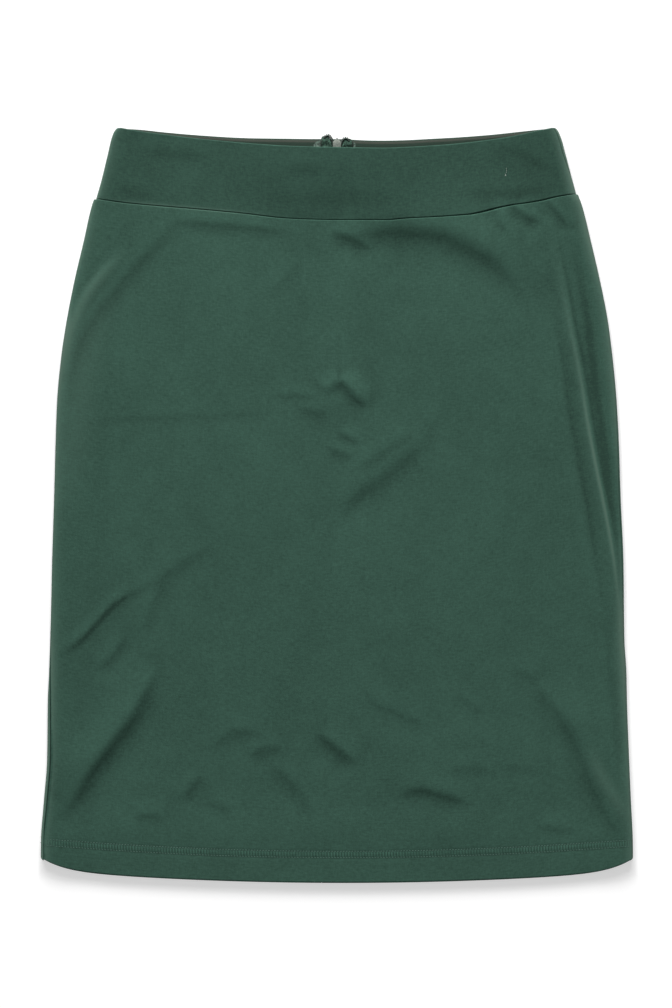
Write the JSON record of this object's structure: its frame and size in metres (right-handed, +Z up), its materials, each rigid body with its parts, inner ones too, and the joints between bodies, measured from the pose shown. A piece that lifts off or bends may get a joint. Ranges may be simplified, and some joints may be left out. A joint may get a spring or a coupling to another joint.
{
  "type": "a-line skirt",
  "caption": "Knee-length A-line skirt of stretch jersey with a shaped waistband, a concealed centre-back zip and a turned-up hem, laid flat on its back.",
  "frame": {"origin": "on the surface the skirt lies on, under the middle of its bounding box", "axes": "+X across the skirt to the right as its front is seen, +Y from hem to waist, +Z up out of the front"},
  "size_m": [0.4742, 0.6044, 0.0088],
  "materials": {
    "jersey": "matt bottle-green single-colour stretch jersey, fine knit",
    "zip_tape": "woven green tape with nylon coils",
    "painted_metal": "grey-green enamel, satin"
  },
  "bodies": {
    "skirt": {"front_panel": "jersey", "back_panel_left": "jersey", "back_panel_right": "jersey", "waistband_front": "jersey", "waistband_back_left": "jersey", "waistband_back_right": "jersey", "zip_tape_left": "zip_tape", "zip_tape_right": "zip_tape", "zip_slider": "painted_metal"},
    "pull_tab": {"zip_pull": "painted_metal"}
  },
  "joints": [
    {"name": "pull_swing", "type": "hinge", "parent": "skirt", "child": "pull_tab", "pos_m": [0, 0.28945, 0.001], "axis": [1, 0, 0], "range_deg": [0, 165]}
  ]
}
